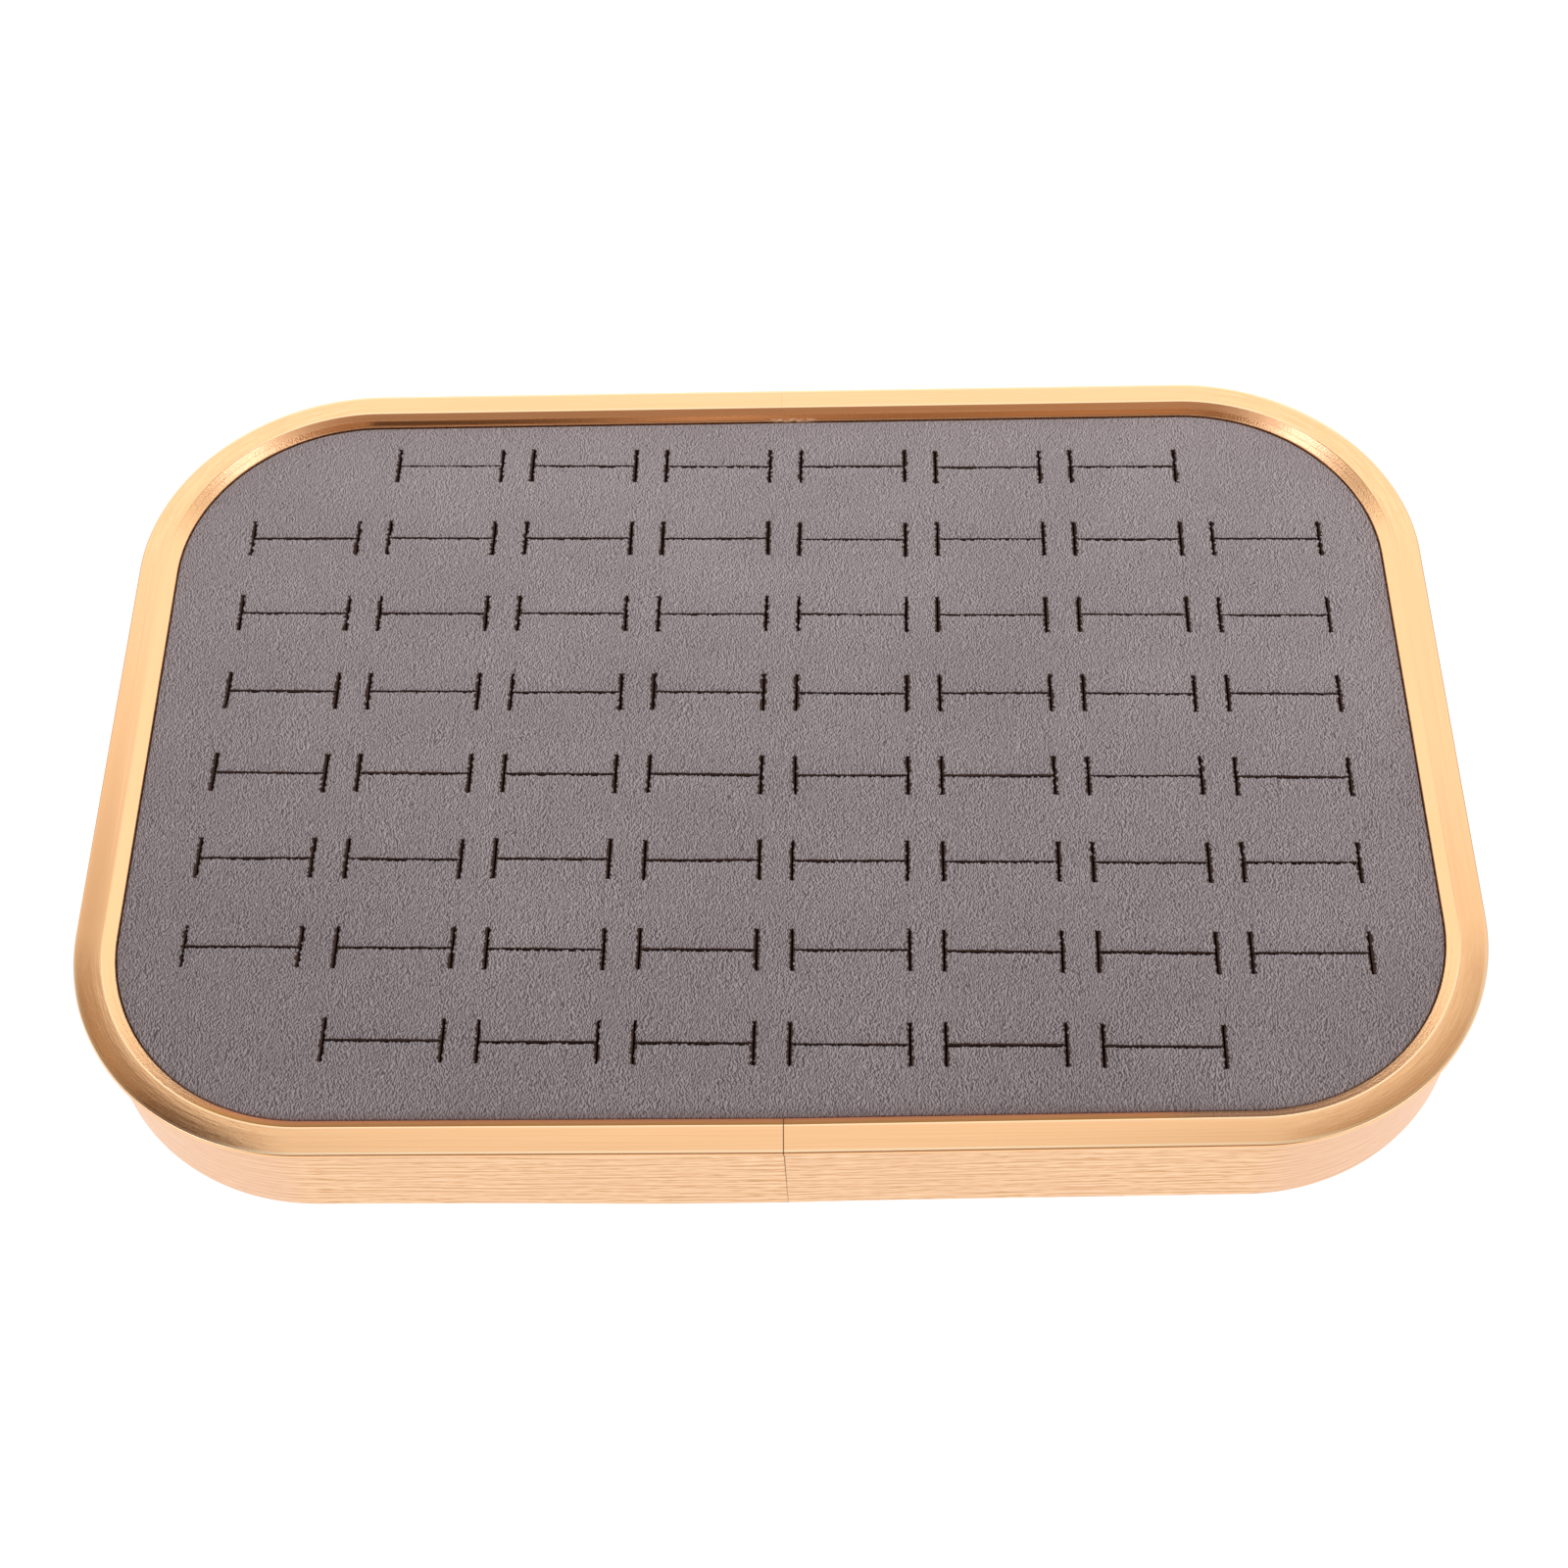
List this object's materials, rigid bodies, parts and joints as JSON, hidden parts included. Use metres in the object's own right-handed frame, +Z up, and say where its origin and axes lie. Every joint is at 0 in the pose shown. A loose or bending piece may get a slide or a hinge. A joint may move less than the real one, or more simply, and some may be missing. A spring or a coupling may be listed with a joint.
{
  "type": "ring display tray",
  "caption": "Low rounded-rectangle tray: a two-piece bent aluminium frame around a lift-out velvet pad with rows of H-shaped slits for finger rings.",
  "frame": {"origin": "centre of the tray's footprint, on the surface that its feet stand on", "axes": "+X along the long side to the right, +Y from the front to the back, +Z up out of the pad"},
  "size_m": [0.35, 0.2382, 0.0338],
  "materials": {
    "anodised_gold": "brushed, gold anodised, satin",
    "mill_aluminium": "mill",
    "black_steel": "black oxide",
    "zinc_steel": "zinc plated",
    "fibreboard": "raw fibreboard",
    "card": "grey card board",
    "felt": "pressed felt",
    "rubber": "smooth, translucent grey",
    "foam": "dark closed-cell foam",
    "velvet": "short-pile velvet"
  },
  "bodies": {
    "tray": {"frame_half_left": "anodised_gold", "frame_half_right": "anodised_gold", "splice_bar_front": "mill_aluminium", "splice_bar_back": "mill_aluminium", "splice_screw_front_1": "black_steel", "splice_screw_front_2": "black_steel", "splice_screw_front_3": "black_steel", "splice_screw_front_4": "black_steel", "splice_screw_back_1": "black_steel", "splice_screw_back_2": "black_steel", "splice_screw_back_3": "black_steel", "splice_screw_back_4": "black_steel", "base_board": "fibreboard", "base_screw_01": "zinc_steel", "base_screw_02": "zinc_steel", "base_screw_03": "zinc_steel", "base_screw_04": "zinc_steel", "base_screw_05": "zinc_steel", "base_screw_06": "zinc_steel", "base_screw_07": "zinc_steel", "base_screw_08": "zinc_steel", "base_screw_09": "zinc_steel", "base_screw_10": "zinc_steel", "underside_felt": "felt", "foot_front_left": "rubber", "foot_front_right": "rubber", "foot_back_left": "rubber", "foot_back_right": "rubber"},
    "ring_insert": {"insert_board": "card", "ring_foam": "foam", "velvet_cover": "velvet"}
  },
  "joints": [
    {"name": "ring_insert_lift", "type": "slide", "parent": "tray", "child": "ring_insert", "axis": [0, 0, 1], "range_m": [0, 0.04]}
  ]
}
